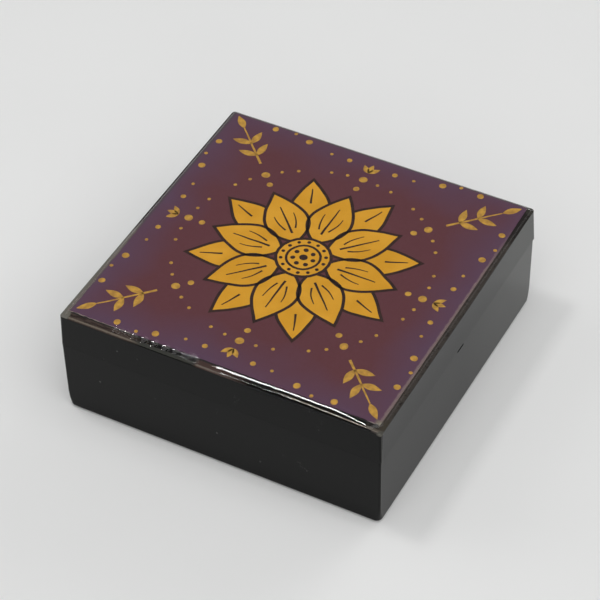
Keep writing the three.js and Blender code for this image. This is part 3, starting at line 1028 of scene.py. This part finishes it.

# %% [markdown]
# The clear coat is resin poured over the lid and left to find its own edge. Surface tension
# shapes that edge: a hollow little foot where the resin wets the black rim, a steep side, a
# rounded shoulder, then a slope that dies away into the flat. It is mesh, not bump, because the
# white line along the front mirrors the small lamp on the shoulder, and a second, thinner line
# mirrors it again in the hollow foot; a pale painted highlight on the rim under the foot adds
# to that thinner line. The shoulder is narrow at the back and broad at the left near corner,
# and it is low and gentle at the right near corner, where the white line ends. On the left half
# of the front the resin pulled back in ragged blobs, which catch the lamp in sparks. The mesh
# dips just below the lid's top, so that light which enters the resin meets the print and the
# black lid with no air between.

# %% The clear coat's form
FOOT_OFF = {"left": 0.35, "right": 0.45, "front": 0.65, "back": 0.25}  # from the rim, mm
COAT_CORNER, NEAR_CORNER = 0.7, 3.2  # radius of the corners, and of the right near one, mm
LEAST_CORNER = 0.4
COAT_DIP = 0.05
COAT_RUN_STEPS = 400
EDGE_RINGS, EDGE_RING_MM = 40, 0.07  # rings close together over the shoulder, then wide apart
TOP_RINGS = 22
EDGE_WANDER_MM, EDGE_WAVE_MM = 0.10, 7
EDGE_REACH = 3  # what moves the foot dies away this far in, mm
TOP_WAVE, TOP_WAVE_MM = 0.02, 9
BLEND_MM = 1.2
# slope of the resin in degrees at these distances in from its foot, mm
SLOPE_AT = ((0.0, 5), (0.13, 12), (0.25, 22), (0.32, 45), (0.42, 58), (0.50, 45), (0.56, 24),
            (1.14, 16.5), (1.5, 11), (2.2, 6), (4.0, 0))
SLOPE_STEP = 0.02
SHOULDER_BREADTH = {"left": 0.45, "right": 0.8, "front": 1.0, "back": 0.45}
LEFT_BROADER, BROADER_ALONG = 1.4, (8, 32)  # more breadth at the left, as -y grows
PULLED_BACK, BLOB_REACH = 0.9, 0.85  # how far the resin drew back, and the blobs' share of it
BLOBS = ((-24.2, 0.6), (-22.9, 0.7), (-21.2, 0.9), (-19.0, 1.2), (-16.5, 1.1), (-13.9, 1.3),
         (-11.3, 1.1), (-9.2, 0.9), (-7.6, 0.8), (-6.0, 0.8))  # middle and half width, mm
BLOBS_START, BLOBS_END = (-25.5, -24.5), (-5.6, -4.8)
ASKEW, ASKEW_FADE = 0.22, (-2, 20)  # right of the blobs the foot lies further out, mm
CORNER_ALONG = (25.8, 36.8)  # where the right near corner sets in, and where it is full
CORNER_OUT, CORNER_LOW, CORNER_SLOPE_MM = 0.25, 0.65, 9

coat_low, coat_high = span("clear_coat")
coat_rise = coat_high.z - TOP_WAVE - coat_low.z


def between(table, at):
    """Straight-line reading of a table of pairs."""
    for (x0, y0), (x1, y1) in zip(table, table[1:]):
        if at <= x1:
            return y0 + (y1 - y0) * max(0, at - x0) / (x1 - x0)
    return table[-1][1]


def shoulder_heights():
    """Heights of the shoulder, summed up from its slopes and scaled to the coat's thickness."""
    heights = [(0.0, 0.0)]
    while heights[-1][0] < SLOPE_AT[-1][0]:
        at, height = heights[-1]
        slope = math.tan(math.radians(between(SLOPE_AT, at + SLOPE_STEP / 2)))
        heights.append((at + SLOPE_STEP, height + SLOPE_STEP * slope))
    scale = coat_rise / heights[-1][1]
    print("shoulder heights scaled by", round(scale, 3))
    return [(at, height * scale) for at, height in heights]


def smooth_step(value, low, high):
    share = min(max((value - low) / (high - low), 0), 1)
    return share * share * (3 - 2 * share)


def say_of_sides(point):
    """How much each side of the lid counts at a place; it changes gently round a corner."""
    gaps = {"left": point.x + lid_half, "right": lid_half - point.x,
            "front": point.y + lid_half, "back": lid_half - point.y}
    says = {wall: math.exp(-gap / BLEND_MM) for wall, gap in gaps.items()}
    return {wall: say / sum(says.values()) for wall, say in says.items()}


def front_foot(x, near_corner):
    """How far the front foot is moved in at x: back between the blobs, and slightly askew."""
    past_blobs = smooth_step(x, *BLOBS_END)
    in_blobs = smooth_step(x, *BLOBS_START) * (1 - past_blobs)
    bulge = max(0, *(1 - ((x - middle) / half_width) ** 2 for middle, half_width in BLOBS))
    pulled_back = PULLED_BACK * in_blobs * (1 - BLOB_REACH * math.sqrt(bulge))
    askew = ASKEW * past_blobs * (1 - smooth_step(x, *ASKEW_FADE))
    return pulled_back - askew - CORNER_OUT * near_corner


def round_near_corner(ring, middle, halves, radius):
    """Draws the points of the right near corner back to a wider round."""
    centre = middle + Vector((halves[0] - radius, radius - halves[1]))
    for point in ring:
        across, along = point.x - centre.x, point.y - centre.y
        away = math.hypot(across, along)
        if across > 0 > along and away > radius:
            point.x = centre.x + across * radius / away
            point.y = centre.y + along * radius / away


def coat_rings():
    heights = shoulder_heights()
    top_half = lid_half - LID_TAPER
    half_x = top_half - (FOOT_OFF["left"] + FOOT_OFF["right"]) / 2
    half_y = top_half - (FOOT_OFF["front"] + FOOT_OFF["back"]) / 2
    middle = lid_centre + Vector((FOOT_OFF["left"] - FOOT_OFF["right"],
                                  FOOT_OFF["front"] - FOOT_OFF["back"])) / 2
    insets = [EDGE_RING_MM * step for step in range(EDGE_RINGS)]
    wide = (half_y - insets[-1]) / TOP_RINGS
    insets += [insets[-1] + wide * step for step in range(1, TOP_RINGS)]
    rings = []
    for inset in [None] + insets:
        at = inset or 0.0
        near_edge = max(0, 1 - at / EDGE_REACH)
        halves = (half_x - at, half_y - at)
        corner = min(max(COAT_CORNER - at / 2, LEAST_CORNER), min(halves) / 2)
        ring = square_ring(halves, corner, coat_low.z, middle, COAT_RUN_STEPS)
        round_near_corner(ring, middle, halves, max(NEAR_CORNER - at / 2, LEAST_CORNER))
        for point in ring:
            say = say_of_sides(point)
            near_corner = say["front"] * smooth_step(point.x, *CORNER_ALONG)
            low = CORNER_LOW * near_corner
            breadth = sum(say[wall] * SHOULDER_BREADTH[wall] for wall in WALLS)
            breadth += say["left"] * LEFT_BROADER * smooth_step(-point.y, *BROADER_ALONG)
            rise = ((1 - low) * between(heights, at / (breadth * (1 - low)))
                    + low * coat_rise * smooth_step(at, 0, CORNER_SLOPE_MM))
            outward = Vector((point.x, point.y, 0)).normalized()
            point -= outward * EDGE_WANDER_MM * unevenness(point, EDGE_WAVE_MM) * near_edge
            point.y += say["front"] * near_edge * front_foot(point.x, near_corner)
            if inset is None:
                point.z -= COAT_DIP
                continue
            point.z += rise + TOP_WAVE * noise.noise(point / TOP_WAVE_MM) * min(rise, 1)
            point.z = min(point.z, coat_high.z)
        rings.append(ring)
    return rings


# %% [markdown]
# Poured resin is clear, a little warm, and very smooth, with an IOR near 1.5. Light reaches the
# print through it, so for rays from lamps and for the print's own bounced light it is simply
# transparent, with a faint warm tint. The camera's rays bend and mirror as in real resin.

# %% Clear resin
RESIN_IOR = 1.5
RIPPLE_MM, RIPPLE_RISE_MM = 6, 0.01


def poured_clear_resin():
    finish, add, mm = new_finish("poured_clear_resin")
    ripple = add("TexNoise", {"Vector": mm, "Scale": 1 / RIPPLE_MM, "Detail": 2}, "Fac")
    tint = paint(add, "#fbf8f4", "#fdfbf8", (ripple, 0, 1))
    bump = add("Bump", {"Height": ripple, "Distance": RIPPLE_RISE_MM * MM, "Strength": 1.0},
               "Normal")
    resin = add("BsdfPrincipled",
                {"Base Color": tint, "Roughness": 0.02, "IOR": RESIN_IOR,
                 "Transmission Weight": 1.0, "Normal": bump})
    open_way = add("BsdfTransparent", {"Color": colour("#f7f4ef")})
    shadow = add("LightPath", {}, "Is Shadow Ray")
    bounced = add("LightPath", {}, "Is Diffuse Ray")
    lets_through = add("Math", {0: shadow, 1: bounced}, operation="MAXIMUM")
    surface = add("MixShader", {0: lets_through, 1: resin, 2: open_way})
    add("OutputMaterial", {"Surface": surface})
    return finish


make_piece("poured_resin_coat", *skin(coat_rings()), poured_clear_resin(), "lid", "clear_resin",
           ["clear_coat"])
